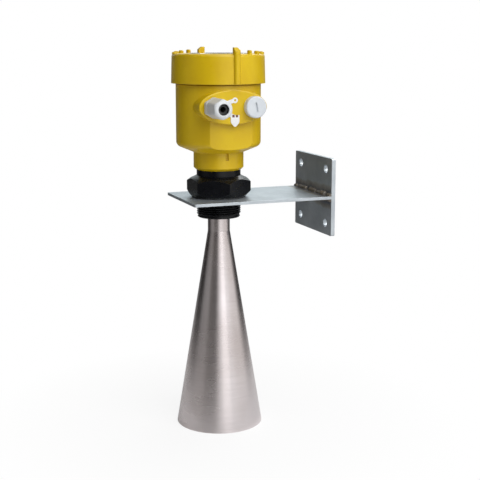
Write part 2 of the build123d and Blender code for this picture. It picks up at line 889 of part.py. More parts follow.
# Terminal side of the module, in front of the tower
board_top = module_body_top + board_thickness
with BuildPart() as terminal_board:
    with BuildSketch(sensor_base.offset(module_body_top)):
        Circle(module_radius - loose_clearance)
        with Locations((0, tower_front - loose_clearance)):
            Rectangle(
                2 * module_radius, 2 * module_radius,
                align=(Align.CENTER, Align.MAX), mode=Mode.INTERSECT,
            )
    extrude(amount=board_thickness)
terminal_board.part.label = "terminal_board"

terminal_block_length = terminal_count * terminal_pitch + 2 * terminal_end_margin
terminal_block_front = module_radius - terminal_block_inset
terminal_xs = [
    terminal_pitch * (index - (terminal_count - 1) / 2) for index in range(terminal_count)
]
terminal_screw_y = -terminal_block_front + terminal_block_depth / 2
terminal_well_z = board_top + terminal_block_height - terminal_well_depth
block_front_face = Plane(
    origin=(sensor_x, -terminal_block_front, board_top), x_dir=(1, 0, 0), z_dir=(0, -1, 0)
)
with BuildPart() as terminal_block:
    with BuildSketch(sensor_base.offset(board_top)):
        with Locations((0, -terminal_block_front)):
            Rectangle(
                terminal_block_length, terminal_block_depth, align=(Align.CENTER, Align.MIN)
            )
    extrude(amount=terminal_block_height)
    with BuildSketch(block_front_face):
        with Locations(*[(x, terminal_entry_height) for x in terminal_xs]):
            Circle(terminal_entry_diameter / 2)
    extrude(amount=-terminal_entry_depth, mode=Mode.SUBTRACT)
    with BuildSketch(sensor_base.offset(terminal_well_z)):
        with Locations(*[(x, terminal_screw_y) for x in terminal_xs]):
            Circle(terminal_well_diameter / 2)
    extrude(amount=terminal_well_depth, mode=Mode.SUBTRACT)
terminal_block.part.label = "terminal_block"

terminal_screws = slotted_screws(
    [
        Plane(origin=(sensor_x + x, terminal_screw_y, terminal_well_z))
        for x in terminal_xs
    ],
    terminal_screw_diameter,
    terminal_screw_height,
    0,
    0,
)
terminal_screws.part.label = "terminal_screws"

# The earth clamp stands midway between the terminal block and the tower
earth_clamp_x = sensor_x + module_radius - earth_clamp_inset
earth_clamp_y = (tower_front + terminal_block_depth - terminal_block_front) / 2
earth_clamp_plane = Plane(origin=(earth_clamp_x, earth_clamp_y, board_top))
with BuildPart() as earth_clamp:
    with BuildSketch(earth_clamp_plane):
        RectangleRounded(earth_clamp_size, earth_clamp_size, earth_clamp_corner_radius)
    extrude(amount=earth_clamp_thickness)
earth_clamp.part.label = "earth_clamp"

earth_screw = slotted_screws(
    [earth_clamp_plane.offset(earth_clamp_thickness)],
    earth_screw_diameter,
    earth_screw_height,
    0,
    0,
)
earth_screw.part.label = "earth_screw"

# Display module on the tower: base, board, screen, keys and case
display_radius = inner_facet_distance - display_side_clearance
display_inner_radius = display_radius - display_wall
display_roof = display_top - display_wall
display_board_z = tower_top + display_base_thickness + pillar_height
display_board_top = display_board_z + board_thickness
screen_length = 2 * (display_inner_radius - screen_side_margin)
key_mat_width = key_diameter + 2 * key_mat_margin
key_distance = screen_width / 2 - screen_distance + key_mat_gap + key_mat_width / 2
key_pitch = (screen_length - 2 * key_mat_margin) / key_count
key_xs = [key_pitch * (index - (key_count - 1) / 2) for index in range(key_count)]

with BuildPart() as contact_pins:
    with BuildSketch(sensor_base.offset(pin_tip_z)):
        with Locations(*pin_places):
            Circle(pin_diameter / 2)
    extrude(amount=-pin_length)
contact_pins.part.label = "contact_pins"

with BuildPart() as display_base:
    column(display_inner_radius, tower_top, tower_top + display_base_thickness)
    with BuildSketch(sensor_base.offset(tower_top)):
        with Locations((0, pin_distance)):
            SlotOverall(pin_count * pin_pitch + pin_pitch, pin_pitch)
    extrude(amount=display_base_thickness, mode=Mode.SUBTRACT)
    with BuildSketch(sensor_base.offset(tower_top + display_base_thickness)):
        with PolarLocations(display_inner_radius - pillar_inset, pillar_count, pillar_start_angle):
            Circle(pillar_diameter / 2)
    extrude(amount=pillar_height)
display_base.part.label = "display_base"

with BuildPart() as display_board:
    column(display_inner_radius - loose_clearance, display_board_z, display_board_top)
display_board.part.label = "display_board"

with BuildPart() as display_screen:
    with BuildSketch(sensor_base.offset(display_board_top)):
        with Locations((0, screen_distance)):
            Rectangle(screen_length, screen_width)
    extrude(amount=display_roof - display_board_top)
display_screen.part.label = "display_screen"

with BuildPart() as display_keys:
    with BuildSketch(sensor_base.offset(display_roof - key_mat_thickness)):
        with Locations((0, -key_distance)):
            Rectangle(screen_length, key_mat_width)
    extrude(amount=key_mat_thickness)
    with BuildSketch(sensor_base.offset(display_roof)):
        with Locations(*[(x, -key_distance) for x in key_xs]):
            Circle(key_diameter / 2)
    extrude(amount=display_wall + key_proud)
display_keys.part.label = "display_keys"

with BuildPart() as display_case:
    column(display_radius, tower_top, display_top)
    fillet(display_case.edges().sort_by(Axis.Z)[-1], display_edge_radius)
    column(display_inner_radius, tower_top, display_roof, Mode.SUBTRACT)
    with BuildSketch(sensor_base.offset(display_roof)):
        with Locations((0, screen_distance)):
            Rectangle(screen_length - 2 * screen_border, screen_width - 2 * screen_border)
        with Locations(*[(x, -key_distance) for x in key_xs]):
            Circle(key_diameter / 2 + loose_clearance)
    extrude(amount=display_wall, mode=Mode.SUBTRACT)
display_case.part.label = "display_case"

# Lid with its seal on the collar's rim, the window, and what holds the window
lid_radius = housing_radius + lid_overhang
lid_bore_radius = collar_radius + lid_bore_clearance
lid_seat_z = collar_top + lid_seal_thickness
lug_outer_radius = lid_radius + lug_proud
lug_inner_radius = lug_outer_radius - lug_depth
lug_top = lid_top + lug_rise
lug_direction = Vector(0, -1).rotate(Axis.Z, lug_turn_angle)
lug_side = lug_direction.rotate(Axis.Z, 90)
lug_section = Plane(origin=(sensor_x, 0, 0), x_dir=lug_direction, z_dir=-lug_side)
lug_front = Plane(origin=(sensor_x, 0, 0), x_dir=lug_side, z_dir=lug_direction)
window_rebate_radius = housing_cavity_radius - window_seat_width
window_radius = window_rebate_radius - running_clearance
window_opening_radius = window_rebate_radius - window_ledge
window_seal_z = lid_roof_z + window_flange_thickness
window_rebate_top = window_seal_z + window_seal_thickness

lid_seal = flat_ring(
    sensor_base.offset(collar_top),
    collar_radius,
    housing_cavity_radius + loose_clearance,
    lid_seal_thickness,
)
lid_seal.part.label = "lid_seal"

with BuildPart() as lid:
    # A lug runs down the wall as a half-round rib, its top sloped outwards and to one side
    with BuildSketch(lug_section):
        with BuildLine():
            Polyline(
                (lug_inner_radius, lid_bottom),
                (lug_outer_radius, lid_bottom),
                (lug_outer_radius, lug_top - lug_slant_height),
                (lug_outer_radius - lug_slant_depth, lug_top),
                (lug_inner_radius, lug_top),
                close=True,
            )
        make_face()
    extrude(amount=lug_width / 2, both=True)
    upright_edges = lid.edges().filter_by(Axis.Z).sort_by(Axis((0, 0, 0), lug_direction))
    fillet(upright_edges[-2:], lug_rounding)
    with BuildSketch(lug_front):
        with BuildLine():
            Polyline(
                (-lug_width / 2, lid_bottom),
                (lug_width / 2, lid_bottom),
                (lug_width / 2, lug_top - lug_side_slope_height),
                (lug_width / 2 - lug_side_slope_width, lug_top),
                (-lug_width / 2, lug_top),
                close=True,
            )
        make_face()
    extrude(amount=lug_outer_radius, mode=Mode.INTERSECT)
    # Its twin stands opposite
    add(lid.part.rotate(sensor_axis, 180))
    with BuildSketch(sensor_section):
        with BuildLine():
            FilletPolyline(
                (window_opening_radius, window_rebate_top),
                (window_rebate_radius, window_rebate_top),
                (window_rebate_radius, lid_roof_z),
                (housing_cavity_radius, lid_roof_z),
                (housing_cavity_radius, lid_seat_z),
                (lid_bore_radius, lid_seat_z),
                (lid_bore_radius, lid_bottom),
                (lid_radius, lid_bottom),
                (lid_radius - lid_taper, lid_top),
                (window_opening_radius, lid_top),
                radius=[0, 0, 0, 0, 0, 0, 0, 0, lid_edge_radius, 0],
                close=True,
            )
        make_face()
    revolve(axis=sensor_axis)
    # A run of low ribs behind each lug, each lower than the one before
    for lug_angle in (90 + lug_turn_angle, 270 + lug_turn_angle):
        for index in range(rib_count):
            angle = lug_angle + rib_first_angle + rib_spacing_angle * index
            place = Vector(lug_inner_radius, 0).rotate(Axis.Z, angle)
            with BuildSketch(sensor_base.offset(lid_roof_z)):
                with Locations(Location((place.X, place.Y, 0), (0, 0, angle))):
                    SlotOverall(rib_length, rib_width)
            extrude(amount=lid_roof_thickness + rib_first_rise - index * rib_rise_step)
            rib_top = lid.faces(Select.LAST).sort_by(Axis.Z)[-1]
            chamfer(rib_top.edges(), rib_chamfer)
lid.part.label = "lid"

with BuildPart() as lid_window:
    column(window_radius, lid_roof_z, window_seal_z)
    column(window_opening_radius - loose_clearance, window_seal_z, lid_top + window_proud)
    chamfer(lid_window.edges().sort_by(Axis.Z)[-1], window_proud)
lid_window.part.label = "lid_window"

window_seal = flat_ring(
    sensor_base.offset(window_seal_z),
    window_radius,
    window_opening_radius + loose_clearance,
    window_seal_thickness,
)
window_seal.part.label = "window_seal"

window_ring = flat_ring(
    sensor_base.offset(lid_roof_z - window_ring_thickness),
    housing_cavity_radius,
    window_opening_radius - window_ring_cover,
    window_ring_thickness,
)
window_ring.part.label = "window_ring"

pieces = (
    bracket_arm, bracket_wall_plate, bracket_weld,
    process_seal, process_fitting, swivel_seals, retaining_ring,
    horn_antenna, antenna_seal, feed_cone, waveguide_tube, microwave_module,
    housing_body,
    gland_seal_ring, gland_body, gland_claw, gland_sleeve, gland_cap_nut, gland_tag,
    plug_seal_ring, blind_plug,
    electronics_module, module_screws, terminal_board, terminal_block, terminal_screws,
    earth_clamp, earth_screw,
    contact_pins, display_base, display_board, display_screen, display_keys, display_case,
    lid_seal, lid, lid_window, window_seal, window_ring,
)
for piece in pieces:
    export_step(piece.part, f"parts/{piece.part.label}.step")
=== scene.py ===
"""The looks of a radar level transmitter that hangs in a T-shaped wall bracket.

Lengths are in metres, in the model's own frame. The script adds the threads, the
weld beads and the cone round the fitting's neck, gives every piece its finish,
and sets up a plain pale studio.
"""
import math
import random

import bmesh
import bpy
from mathutils import Matrix, Vector


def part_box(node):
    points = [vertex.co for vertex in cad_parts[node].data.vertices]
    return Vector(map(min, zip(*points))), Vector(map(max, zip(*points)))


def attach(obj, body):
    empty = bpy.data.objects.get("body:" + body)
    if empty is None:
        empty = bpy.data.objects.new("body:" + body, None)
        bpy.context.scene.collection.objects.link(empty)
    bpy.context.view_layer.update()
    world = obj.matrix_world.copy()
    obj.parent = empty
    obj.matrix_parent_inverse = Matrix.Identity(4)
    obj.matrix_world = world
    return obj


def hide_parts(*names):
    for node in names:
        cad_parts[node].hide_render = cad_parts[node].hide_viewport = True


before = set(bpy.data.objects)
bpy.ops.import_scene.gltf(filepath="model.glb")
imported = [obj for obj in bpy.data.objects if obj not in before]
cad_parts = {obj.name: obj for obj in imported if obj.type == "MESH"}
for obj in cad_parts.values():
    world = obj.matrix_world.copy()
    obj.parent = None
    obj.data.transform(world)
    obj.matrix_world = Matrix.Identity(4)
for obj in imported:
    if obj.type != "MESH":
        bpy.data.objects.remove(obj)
bpy.context.view_layer.update()

MM = 0.001
random.seed(7)

# The sensor's upright axis, and the lowest point of the object
horn_low, horn_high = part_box("horn_antenna")
SENSOR_X = (horn_low.x + horn_high.x) / 2
SENSOR_CENTRE = (SENSOR_X, 0, 0)
FLOOR_Z = horn_low.z

# The bracket's two plates
plate_low, plate_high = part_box("bracket_wall_plate")
WALL_PLATE_THICKNESS = plate_high.x - plate_low.x
WALL_PLATE_HALF_WIDTH = plate_high.y
arm_low, arm_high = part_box("bracket_arm")
ARM_HALF_THICKNESS = (arm_high.z - arm_low.z) / 2
ARM_HALF_WIDTH = arm_high.y

# Heat tint beside the weld: where it starts to fade, where it ends, how ragged it is,
# and how far from the plates' edges it sets in
HEAT_TINT_START = 2 * MM
HEAT_TINT_REACH = 13 * MM
HEAT_TINT_RAGGED = 3 * MM
HEAT_TINT_FROM_EDGE = (0.3 * MM, 3 * MM)

# Its strength on the weld's side and behind, and the depth at which it has weakened,
# as a share of the wall plate's thickness
HEAT_TINT_STRENGTH = 0.75
HEAT_TINT_STRENGTH_BEHIND = 0.12
HEAT_TINT_DEPTH = 0.4

# The tag's two dark fields: the point midway between them, how far each is from it,
# half their size and how wide their blurred edge is
tag_low, tag_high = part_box("gland_tag")
TAG_FIELD_X = tag_high.x - 4.7 * MM
TAG_FIELD_Z = tag_low.z + 11.0 * MM
TAG_FIELD_OFFSET = 1.9 * MM
TAG_FIELD_HALF_WIDTH = 1.2 * MM
TAG_FIELD_HALF_HEIGHT = 1.3 * MM
TAG_FIELD_BLUR = 0.2 * MM

# The threads that replace plain shafts: radius at the crest, depth and pitch
PIPE_THREAD = {"crest": 23.9 * MM, "depth": 1.35 * MM, "pitch": 2.309 * MM}
ENTRY_THREAD = {"crest": 7.9 * MM, "depth": 0.75 * MM, "pitch": 1.5 * MM}

# Where they run: the pipe thread from its plain end up to the seal's top, and the
# gland's and the plug's as measured outwards from the boss's face
PIPE_PLAIN_END = 1.6 * MM
SEAL_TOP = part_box("process_seal")[1].z
PIPE_THREAD_SPAN = (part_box("process_fitting")[0].z + PIPE_PLAIN_END, SEAL_TOP)
BOSS_FACE_Y = tag_high.y
GLAND_THREAD_SPAN = (6.8 * MM, 19.0 * MM)
PLUG_THREAD_SPAN = (-9.0 * MM, 0.0)

# A thread's ridge: half its width at foot and top as shares of the pitch, the full
# heights it grows by in one turn at its ends, and how deep it sits in the shaft
RIDGE_FOOT = 0.47
RIDGE_TOP = 0.07
RIDGE_GROWTH = 3
RIDGE_SINK = 0.05 * MM

# How far a point may be off a shaft's surface and past its ends and still belong to it
SHAFT_TOLERANCE = 0.05 * MM
SHAFT_END_TOLERANCE = 0.1 * MM

# The lid's coarse thread on the housing's collar, with the plain collar at its ends
COLLAR_THREAD_PITCH = 4 * MM
COLLAR_THREAD_HEIGHT = 0.3 * MM
COLLAR_THREAD_SINK = 0.1 * MM
COLLAR_THREAD_STEPS = 144
COLLAR_PLAIN_FOOT = 1 * MM
COLLAR_PLAIN_TOP = 2 * MM

# The cone on the hexagon round the fitting's neck, with a low lip at its foot, and
# how deep it sits in both
HEXAGON_HEIGHT = 18.5 * MM
HEXAGON_TOP = SEAL_TOP + HEXAGON_HEIGHT
SHOULDER_RADIUS = 29.6 * MM
SHOULDER_HEIGHT = 3.2 * MM
SHOULDER_LIP = 0.2 * MM
SHOULDER_SINK = 0.15 * MM
SHOULDER_STEPS = 144
FITTING_NECK_RADIUS = 23.8 * MM

# Stitches of the weld in mm: middle along the arm's width, length and leg
WELD_STITCHES = (
    (24.5, 21.0, 4.7),
    (-3.0, 15.0, 4.7),
    (-24.5, 21.0, 4.7),
    (44.0, 7.0, 3.5),
    (-44.0, 7.0, 3.9),
)

# Their sections: the distance between two, how deep a corner sits in the plates, the
# steps round the quarter circle, and the number of lumps along a stitch
WELD_STEP = 0.35 * MM
WELD_SINK = 0.15 * MM
WELD_ROUND_STEPS = 8
WELD_LUMPS = 8

# A bead's leg as shares of its stitch's leg: without lumps, and what a lump and a
# ripple add at most
BEAD_LEG = 0.83
BEAD_LUMP = 0.17
BEAD_RIPPLE = 0.035
BEAD_RIPPLE_PITCH = 1.6 * MM

# How bluntly a bead swells up from the end of its stitch
BEAD_SWELL = 5.5
BEAD_SWELL_POWER = 0.8
BEAD_END = 0.02

# The camera: by how many degrees it stands left of the model's -Y and looks down, then
# its distance from the sensor's axis, its height, its shift to the right and its range
VIEW_TURN = 21.2
VIEW_PITCH = 11.0
VIEW_DISTANCE = 1.1188
VIEW_HEIGHT = 0.1703
VIEW_SIDE = 0.0232
VIEW_END = 50

# Its lens and film in mm
LENS = 77.85
FILM_WIDTH = 36

# Softboxes: degrees to the right of the camera and above the horizon, distance, size
# and watts; then the strength of the white world as a lamp
SOFTBOXES = {
    "key_softbox": (43, 38, 1.9, (1.5, 1.3), 24.3),
    "fill_softbox": (4, 46, 1.9, (1.3, 1.1), 9),
    "strip_softbox": (24, -1.3, 1.7, (0.7, 0.42), 0.54),
    "top_softbox": (10, 78, 1.9, (1.2, 1.2), 3),
    "back_softbox": (150, 40, 1.9, (1.2, 1.0), 11),
}
WORLD_AS_LAMP = 0.1

# The floor: its size and grey, how white the camera sees it near the object, and
# the distances over which that grows to full white and reflections turn to the cards
FLOOR_RADIUS = 9.0
FLOOR_GREY = 0.86
FLOOR_WHITE_NEAR = 0.86
FLOOR_WHITE_SPAN = (0.06, 0.28)
FLOOR_CARDS_SPAN = (0.3, 0.9)
FLOOR_STEPS = 96

# The cards that metal reflects: degrees to the right of the camera, brightness, warmth
CARDS = (
    (-180, 0.07, 0.97),
    (-150, 0.13, 1.0),
    (-136, 0.13, 1.0),
    (-130, 0.03, 0.95),
    (-102, 0.03, 0.95),
    (-82, 0.25, 0.99),
    (-58, 0.31, 0.98),
    (-42, 0.14, 0.95),
    (-14, 0.08, 0.95),
    (-6, 0.33, 0.98),
    (7, 1.0, 1.0),
    (46, 1.0, 1.0),
    (62, 0.88, 0.98),
    (94, 0.88, 0.98),
    (110, 0.3, 0.97),
    (124, 0.04, 0.97),
    (180, 0.07, 0.97),
)
WALL_DISTANCE = 3.0
WALL_HEIGHT = 4.5

# A cool pale card behind the object, which the arm's flat top reflects
BACK_CARD_DISTANCE = 2.8
BACK_CARD_HEIGHTS = (0.2, 3.0)
BACK_CARD_AZIMUTHS = (140, 215)
BACK_CARD_COLOUR = (0.82, 0.9, 0.92, 1)
CARD_STEPS = 96


def srgb(red, green, blue):
    """Turn a screen colour from 0 to 255 into the linear colour that shaders use."""
    def linear(value):
        """Take one channel through the sRGB curve."""
        value /= 255
        return value / 12.92 if value <= 0.04045 else ((value + 0.055) / 1.055) ** 2.4

    return (linear(red), linear(green), linear(blue), 1.0)


class Paint:
    """A material under construction, with short ways to add its nodes."""

    def __init__(self, name, **sockets):
        self.material = bpy.data.materials.new(name)
        self.material.use_nodes = True
        self.tree = self.material.node_tree
        self.shader = self.tree.nodes["Principled BSDF"]
        self.place = self.add("ShaderNodeTexCoord").outputs["Object"]
        self.set(**sockets)

    def set(self, **sockets):
        """Set shader sockets, with an underscore for each space in a socket's name."""
        for name, value in sockets.items():
            self.link(value, self.shader.inputs[name.replace("_", " ")])

    def link(self, value, socket):
        """Lead another node's output to a socket, or give the socket a plain value."""
        if isinstance(value, bpy.types.NodeSocket):
            self.tree.links.new(value, socket)
        else:
            socket.default_value = value

    def add(self, kind, inputs=None, **settings):
        """Add a node of a kind, with its settings and its inputs."""
        node = self.tree.nodes.new(kind)
        for name, value in settings.items():
            setattr(node, name, value)
        for name, value in (inputs or {}).items():
            self.link(value, node.inputs[name])
        return node

    def calculate(self, operation, first, second=0.0):
        """Give the result of an operation on one or two numbers."""
        inputs = {0: first, 1: second}
        return self.add("ShaderNodeMath", inputs, operation=operation).outputs[0]

    def times(self, first, second):
        """Give one number times another."""
        return self.calculate("MULTIPLY", first, second)

    def apart(self, first, second):
        """Give how far apart two numbers are."""
        return self.calculate("ABSOLUTE", self.calculate("SUBTRACT", first, second))

    def within(self, value, low, high):
        """Give 1 where a number lies between two others, and 0 elsewhere."""
        return self.times(
            self.calculate("GREATER_THAN", value, low),
            self.calculate("LESS_THAN", value, high),
        )

    def moved(self, offset):
        """Give the object's coordinates as seen from another origin."""
        inputs = {0: self.place, 1: offset}
        return self.add("ShaderNodeVectorMath", inputs, operation="SUBTRACT").outputs[0]

    def stretched(self, vector, stretch):
        """Give a vector with each part times the stretch for its direction."""
        inputs = {0: vector, 1: stretch}
        return self.add("ShaderNodeVectorMath", inputs, operation="MULTIPLY").outputs[0]

    def parts(self, vector):
        """Give a vector's x, y and z."""
        return self.add("ShaderNodeSeparateXYZ", {0: vector}).outputs

    def joined(self, x, y, z):
        """Give the vector of three numbers."""
        return self.add("ShaderNodeCombineXYZ", {0: x, 1: y, 2: z}).outputs[0]

    def around_sensor(self):
        """Give (turn round the sensor's axis in radians, height, radius)."""
        x, y, z = self.parts(self.moved(SENSOR_CENTRE))
        turn = self.calculate("ARCTAN2", y, x)
        squares = self.calculate("ADD", self.times(x, x), self.times(y, y))
        return turn, z, self.calculate("SQRT", squares)

    def noise(self, scale, vector=None, detail=3.0, roughness=0.55):
        """Give cloudy noise, mostly between 0.3 and 0.7.

        scale is the number of lumps along one unit of the vector.
        """
        inputs = {
            "Vector": vector or self.place,
            "Scale": scale,
            "Detail": detail,
            "Roughness": roughness,
        }
        return self.add("ShaderNodeTexNoise", inputs).outputs["Fac"]

    def ramp(self, factor, *stops):
        """Blend colours along a factor; each stop is (place, colour)."""
        node = self.add("ShaderNodeValToRGB", {0: factor})
        while len(node.color_ramp.elements) < len(stops):
            node.color_ramp.elements.new(1.0)
        for element, (place, colour) in zip(node.color_ramp.elements, stops):
            element.position = place
            element.color = colour
        return node.outputs["Color"]

    def spread(self, value, low, high, to_low, to_high):
        """Map a value from one range to another, and hold it at the ends."""
        inputs = {0: value, 1: low, 2: high, 3: to_low, 4: to_high}
        return self.add("ShaderNodeMapRange", inputs).outputs[0]

    def mix(self, factor, first, second, blend="MIX"):
        """Blend a second colour over a first one."""
        node = self.add("ShaderNodeMix", data_type="RGBA", blend_type=blend)
        self.link(factor, node.inputs["Factor"])
        self.link(first, node.inputs[6])
        self.link(second, node.inputs[7])
        return node.outputs[2]

    def soft_edges(self, radius, samples=6):
        """Give the surface's direction with its edges rounded off."""
        inputs = {"Radius": radius}
        return self.add("ShaderNodeBevel", inputs, samples=samples).outputs[0]

    def bump(self, height, depth, normal=None, strength=1.0):
        """Give the surface's direction with bumps of a depth on it."""
        inputs = {"Height": height, "Distance": depth, "Strength": strength}
        if normal:
            inputs["Normal"] = normal
        return self.add("ShaderNodeBump", inputs).outputs[0]

    def glow(self, colour):
        """Give a surface that looks just as its colour is written."""
        inputs = {"Color": colour, "Strength": 1.0}
        return self.add("ShaderNodeEmission", inputs).outputs[0]

    def show(self, surface):
        """Show a surface in place of the main shader, without using it as a lamp."""
        self.link(surface, self.tree.nodes["Material Output"].inputs["Surface"])
        self.material.cycles.emission_sampling = "NONE"


def moulded_plastic(name, colour, shade, roughness, gloss=0.5, edge=0.35 * MM):
    """Moulded plastic: slow colour drift, fine spark-eroded grain, soft edges."""
    paint = Paint(name, IOR=1.49, Specular_IOR_Level=gloss)
    drift = paint.noise(38, detail=4)
    fine = paint.noise(2600, detail=2)
    smear = paint.noise(160, detail=5, roughness=0.65)
    tone = paint.ramp(drift, (0.3, shade), (0.68, colour))
    tone = paint.mix(paint.spread(fine, 0.35, 0.75, 0.0, 0.12), tone, shade)
    wavy = paint.bump(drift, 0.12 * MM, paint.soft_edges(edge), 0.35)
    paint.set(
        Base_Color=tone,
        Roughness=paint.spread(smear, 0.3, 0.75, roughness - 0.05, roughness + 0.08),
        Normal=paint.bump(fine, 0.01 * MM, wavy),
    )
    return paint.material


def turned_steel(name):
    """Satin stainless steel with fine rings round the sensor's axis."""
    paint = Paint(name, Metallic=1.0, Anisotropic=0.35, Anisotropic_Rotation=0.25)
    turn, height, radius = paint.around_sensor()

    def lathed(lines, detail):
        """Give noise that runs round the axis, with so many lines in a metre of height."""
        place = paint.joined(turn, paint.times(height, lines), radius)
        return paint.noise(1, place, detail)

    rings = lathed(620, 2)
    ripple = lathed(200, 0)
    bands = lathed(90, 2)
    cloud = paint.noise(14, detail=3, roughness=0.5)
    tone = paint.ramp(cloud, (0.3, srgb(203, 194, 193)), (0.7, srgb(222, 215, 216)))
    tone = paint.mix(paint.spread(rings, 0.3, 0.75, 0.1, 0.0), tone, srgb(128, 118, 112))
    rough = paint.spread(cloud, 0.3, 0.7, 0.285, 0.24)
    rough = paint.calculate("ADD", rough, paint.spread(bands, 0.3, 0.7, -0.015, 0.02))
    tangent = paint.add("ShaderNodeTangent", direction_type="RADIAL", axis="Z").outputs[0]
    paint.set(
        Base_Color=tone,
        Roughness=rough,
        Tangent=tangent,
        Normal=paint.bump(ripple, 0.008 * MM, strength=0.5),
    )
    return paint.material


def heat_tint(paint, cloud, tone):
    """Tint a bracket plate's tone beside the weld, strongest on the weld's side."""
    x, y, z = paint.parts(paint.place)
    weld_face = -WALL_PLATE_THICKNESS
    from_weld = paint.calculate("MAXIMUM", paint.apart(x, weld_face), paint.apart(z, 0.0))
    waver = paint.spread(cloud, 0.3, 0.7, -HEAT_TINT_RAGGED, HEAT_TINT_RAGGED)
    ragged = paint.calculate("ADD", from_weld, waver)
    tint = paint.ramp(
        paint.spread(ragged, HEAT_TINT_START, HEAT_TINT_REACH, 0.0, 1.0),
        (0.0, srgb(86, 80, 80)),
        (0.25, srgb(120, 122, 138)),
        (0.5, srgb(186, 166, 148)),
        (0.78, srgb(228, 216, 200)),
        (1.0, srgb(255, 255, 255)),
    )
    from_edge = paint.calculate("SUBTRACT", WALL_PLATE_HALF_WIDTH, paint.apart(y, 0.0))
    off_edge = paint.spread(from_edge, *HEAT_TINT_FROM_EDGE, 0.0, 1.0)
    weakened = weld_face * (1 - HEAT_TINT_DEPTH)
    strength = paint.spread(x, weld_face, weakened, HEAT_TINT_STRENGTH, HEAT_TINT_STRENGTH_BEHIND)
    return paint.mix(paint.times(off_edge, strength), tone, tint, "MULTIPLY")


def sheet_steel(name, grain):
    """Stainless sheet, brushed along one direction, with heat tint beside the weld.

    grain is the number of brushed lines in a metre along x, y and z.
    """
    paint = Paint(name, Metallic=0.8)
    brushed = paint.noise(1, paint.stretched(paint.place, grain), detail=5, roughness=0.6)
    cloud = paint.noise(34, detail=6, roughness=0.62)
    marks = paint.noise(210, detail=4, roughness=0.7)
    tone = paint.ramp(cloud, (0.3, srgb(176, 184, 190)), (0.7, srgb(203, 210, 215)))
    tone = paint.mix(paint.spread(brushed, 0.35, 0.7, 0.14, 0.0), tone, srgb(110, 112, 116))
    paint.set(
        Base_Color=heat_tint(paint, cloud, tone),
        Roughness=paint.spread(marks, 0.3, 0.75, 0.34, 0.46),
        Normal=paint.bump(brushed, 0.02 * MM, paint.soft_edges(0.3 * MM), 0.6),
    )
    return paint.material


def weld_metal(name):
    """Dull weld metal, with brown-grey patches of oxide and a fine grain."""
    paint = Paint(name, Metallic=0.7)
    patches = paint.noise(420, detail=4, roughness=0.6)
    fine = paint.noise(3200, detail=3)
    tone = paint.ramp(
        patches,
        (0.3, srgb(80, 75, 68)),
        (0.45, srgb(118, 111, 102)),
        (0.6, srgb(101, 98, 94)),
        (0.75, srgb(141, 135, 126)),
    )
    paint.set(
        Base_Color=tone,
        Roughness=paint.spread(patches, 0.3, 0.7, 0.6, 0.46),
        Normal=paint.bump(fine, 0.05 * MM),
    )
    return paint.material


def plain_metal(name, colour, shade, roughness):
    """A small metal part: slightly uneven colour and a fine satin grain."""
    paint = Paint(name, Metallic=1.0)
    cloud = paint.noise(180, detail=4)
    fine = paint.noise(4200, detail=2)
    paint.set(
        Base_Color=paint.ramp(cloud, (0.3, shade), (0.7, colour)),
        Roughness=paint.spread(cloud, 0.3, 0.7, roughness + 0.06, roughness - 0.04),
        Normal=paint.bump(fine, 0.01 * MM, paint.soft_edges(0.15 * MM)),
    )
    return paint.material


def rubber(name, colour):
    """Black sealing rubber with a faint bloom."""
    paint = Paint(name, IOR=1.5)
    bloom = paint.noise(240, detail=5)
    fine = paint.noise(5200, detail=2)
    paint.set(
        Base_Color=paint.ramp(bloom, (0.4, colour), (0.85, srgb(72, 72, 74))),
        Roughness=paint.spread(bloom, 0.3, 0.7, 0.55, 0.75),
        Normal=paint.bump(fine, 0.02 * MM),
    )
    return paint.material


def printed_tag(name):
    """White film tag with two plain dark fields near the top of its shield."""
    paint = Paint(name, IOR=1.5)
    x, _, z = paint.parts(paint.place)

    def inside(distance, half_size):
        """Give 1 inside half a field's size, with a slightly blurred edge."""
        return paint.spread(distance, half_size, half_size + TAG_FIELD_BLUR, 1.0, 0.0)

    across = paint.apart(paint.apart(x, TAG_FIELD_X), TAG_FIELD_OFFSET)
    up = paint.apart(z, TAG_FIELD_Z)
    fields = paint.times(
        inside(across, TAG_FIELD_HALF_WIDTH), inside(up, TAG_FIELD_HALF_HEIGHT)
    )
    smudge = paint.noise(300, detail=4)
    white = paint.ramp(smudge, (0.3, srgb(222, 222, 224)), (0.7, srgb(240, 240, 241)))
    paint.set(
        Base_Color=paint.mix(fields, white, srgb(96, 52, 50)),
        Roughness=paint.spread(smudge, 0.3, 0.7, 0.3, 0.42),
        Normal=paint.soft_edges(0.15 * MM),
    )
    return paint.material


def circuit_board(name):
    """Green solder resist with a faint grid of tracks just showing through."""
    paint = Paint(name, IOR=1.5)
    cells = paint.add(
        "ShaderNodeTexBrick",
        {
            "Vector": paint.stretched(paint.place, (260, 260, 260)),
            "Mortar Size": 0.06,
            "Color1": srgb(16, 74, 44),
            "Color2": srgb(20, 84, 50),
            "Mortar": srgb(44, 120, 74),
        },
    ).outputs["Color"]
    drift = paint.noise(90, detail=3)
    paint.set(
        Base_Color=paint.mix(paint.spread(drift, 0.3, 0.7, 0.0, 0.3), cells, srgb(10, 52, 32)),
        Roughness=paint.spread(drift, 0.3, 0.7, 0.22, 0.34),
        Normal=paint.bump(drift, 0.02 * MM),
    )
    return paint.material


